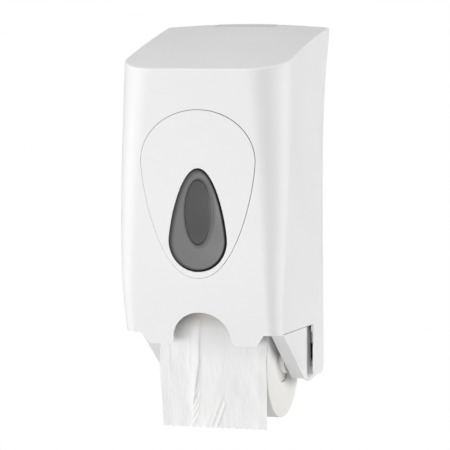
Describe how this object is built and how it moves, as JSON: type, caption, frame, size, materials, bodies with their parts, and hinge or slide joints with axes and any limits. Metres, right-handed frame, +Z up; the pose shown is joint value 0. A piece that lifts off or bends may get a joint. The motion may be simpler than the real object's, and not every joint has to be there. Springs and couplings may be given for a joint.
{
  "type": "double toilet roll dispenser",
  "caption": "Wall-mounted paper dispenser: hinged cover with a sight window over two stacked rolls, the lower one in use, the upper one held in reserve.",
  "frame": {"origin": "middle of the back plate's wall face, on the dispenser's plane of symmetry", "axes": "+Y into the wall, +Z up, +X to the right of someone who faces the dispenser"},
  "size_m": [0.156, 0.1514, 0.3609],
  "materials": {
    "cover_white": "satin moulded white",
    "chassis_white": "fine matt moulded white",
    "lens_smoke": "polished smoked clear",
    "latch_white": "satin moulded",
    "steel": "zinc plated",
    "tissue": "soft crepe tissue",
    "card": "plain grey-brown card"
  },
  "bodies": {
    "chassis": {"back_plate": "chassis_white", "latch_housing": "chassis_white", "left_rail": "chassis_white", "right_rail": "chassis_white", "rail_screw_1": "steel", "rail_screw_2": "steel", "rail_screw_3": "steel", "rail_screw_4": "steel", "latch_screw_1": "steel", "latch_screw_2": "steel", "left_hinge_pin": "steel", "right_hinge_pin": "steel", "left_catch_pin": "steel", "right_catch_pin": "steel", "left_latch_spring": "steel", "right_latch_spring": "steel"},
    "cover": {"cover_shell": "cover_white", "window_surround": "cover_white", "window_lens": "lens_smoke", "lens_retainer": "chassis_white"},
    "latch": {"latch_bar": "latch_white"},
    "lower_carrier": {"lower_spindle": "latch_white", "paper_tail": "tissue"},
    "lower_paper": {"lower_roll": "tissue", "lower_core": "card"},
    "reserve_carrier": {"reserve_spindle": "latch_white"},
    "reserve_paper": {"reserve_roll": "tissue", "reserve_core": "card"},
    "left_catch": {"left_catch": "latch_white"},
    "right_catch": {"right_catch": "latch_white"}
  },
  "joints": [
    {"name": "cover_hinge", "type": "hinge", "parent": "chassis", "child": "cover", "pos_m": [0, -0.0085, -0.151], "axis": [1, 0, 0], "range_deg": [0, 90]},
    {"name": "latch_press", "type": "slide", "parent": "chassis", "child": "latch", "axis": [0, 0, -1], "range_m": [0, 0.0042], "stiffness_N_per_m": 900, "springref_m": -0.003, "deforming": ["left_latch_spring", "right_latch_spring"]},
    {"name": "lower_lift", "type": "slide", "parent": "chassis", "child": "lower_carrier", "axis": [0, 0, 1], "range_m": [0, 0.003]},
    {"name": "lower_spin", "type": "hinge", "parent": "lower_carrier", "child": "lower_paper", "pos_m": [0, -0.0556, -0.1428], "axis": [1, 0, 0], "continuous": true},
    {"name": "reserve_lift", "type": "slide", "parent": "chassis", "child": "reserve_carrier", "axis": [0, 0, 1], "range_m": [0, 0.07]},
    {"name": "reserve_spin", "type": "hinge", "parent": "reserve_carrier", "child": "reserve_paper", "pos_m": [0, -0.0556, -0.035], "axis": [1, 0, 0], "continuous": true},
    {"name": "left_catch_turn", "type": "hinge", "parent": "chassis", "child": "left_catch", "pos_m": [-0.0628, -0.0394, -0.049], "axis": [1, 0, 0], "range_deg": [0, 90], "stiffness_Nm_per_rad": 0.01, "springref_deg": -20.05},
    {"name": "right_catch_turn", "type": "hinge", "parent": "chassis", "child": "right_catch", "pos_m": [0.0628, -0.0394, -0.049], "axis": [1, 0, 0], "range_deg": [0, 90], "stiffness_Nm_per_rad": 0.01, "springref_deg": -20.05}
  ]
}
